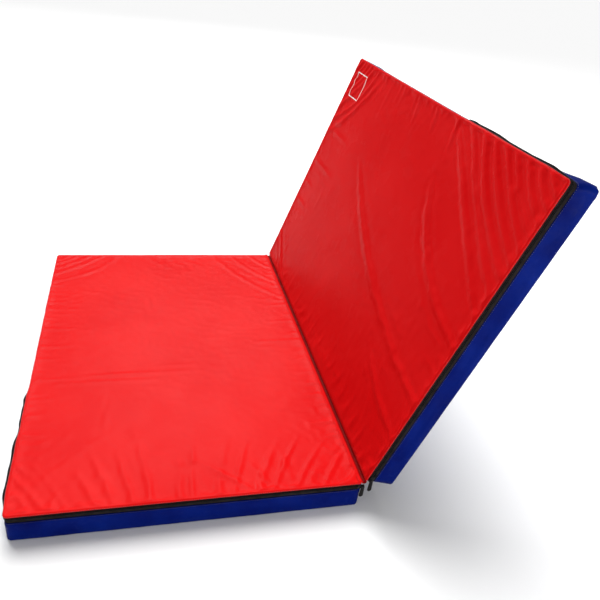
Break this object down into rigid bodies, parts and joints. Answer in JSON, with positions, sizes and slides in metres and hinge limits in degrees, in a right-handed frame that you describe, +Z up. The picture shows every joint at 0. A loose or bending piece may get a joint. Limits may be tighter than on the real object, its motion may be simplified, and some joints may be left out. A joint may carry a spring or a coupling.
{
  "type": "folding gym mat",
  "caption": "Bi-fold foam gym mat in zipped covers with red top faces and blue sides, one panel lying flat and the other raised on its fabric fold.",
  "frame": {"origin": "centre of the lying panel's underside, on the floor", "axes": "+X from the lying panel towards the fold, +Y along the fold away from the zip side, +Z up"},
  "size_m": [1.4136, 1.5071, 1.0493],
  "materials": {
    "red_cover": "satin",
    "blue_cover": "satin",
    "foam": "matte",
    "zip_tape": "matte",
    "zip_coil": "satin",
    "zip_metal": "satin",
    "pull": "satin"
  },
  "bodies": {
    "left_panel": {"left_foam_core": "foam", "left_top_sheet": "red_cover", "left_base_sheet": "blue_cover", "left_front_wall": "blue_cover", "left_end_wall": "blue_cover", "left_back_wall": "blue_cover", "left_fold_wall": "blue_cover", "left_zip_tape_upper": "zip_tape", "left_zip_tape_lower": "zip_tape", "left_zip_coil_upper": "zip_coil", "left_zip_coil_lower": "zip_coil", "left_zip_stop": "zip_metal", "left_hinge_strip": "red_cover"},
    "left_slider": {"left_zip_slider": "zip_metal"},
    "left_pull": {"left_zip_pull": "pull"},
    "right_panel": {"right_foam_core": "foam", "right_top_sheet": "red_cover", "right_base_sheet": "blue_cover", "right_front_wall": "blue_cover", "right_end_wall": "blue_cover", "right_back_wall": "blue_cover", "right_fold_wall": "blue_cover", "right_zip_tape_upper": "zip_tape", "right_zip_tape_lower": "zip_tape", "right_zip_coil_upper": "zip_coil", "right_zip_coil_lower": "zip_coil", "right_zip_stop": "zip_metal", "right_hinge_strip": "red_cover"},
    "right_slider": {"right_zip_slider": "zip_metal"},
    "right_pull": {"right_zip_pull": "pull"}
  },
  "joints": [
    {"name": "fold_hinge", "type": "hinge", "parent": "left_panel", "child": "right_panel", "pos_m": [0.5, 0, 0.1015], "axis": [0, -1, 0], "range_deg": [-71.5, 108.5]},
    {"name": "left_zip_slide", "type": "slide", "parent": "left_panel", "child": "left_slider", "axis": [-1, 0, 0], "range_m": [0, 0.96]},
    {"name": "right_zip_slide", "type": "slide", "parent": "right_panel", "child": "right_slider", "axis": [0.3173, 0, 0.9483], "range_m": [0, 0.95]},
    {"name": "left_pull_swing", "type": "hinge", "parent": "left_slider", "child": "left_pull", "pos_m": [0.5, -0.7523, 0.083], "axis": [0, -1, 0], "range_deg": [-80, 80]},
    {"name": "right_pull_swing", "type": "hinge", "parent": "right_slider", "child": "right_pull", "pos_m": [0.52135, -0.7553, 0.10701], "axis": [0, -1, 0], "range_deg": [-80, 80]}
  ]
}
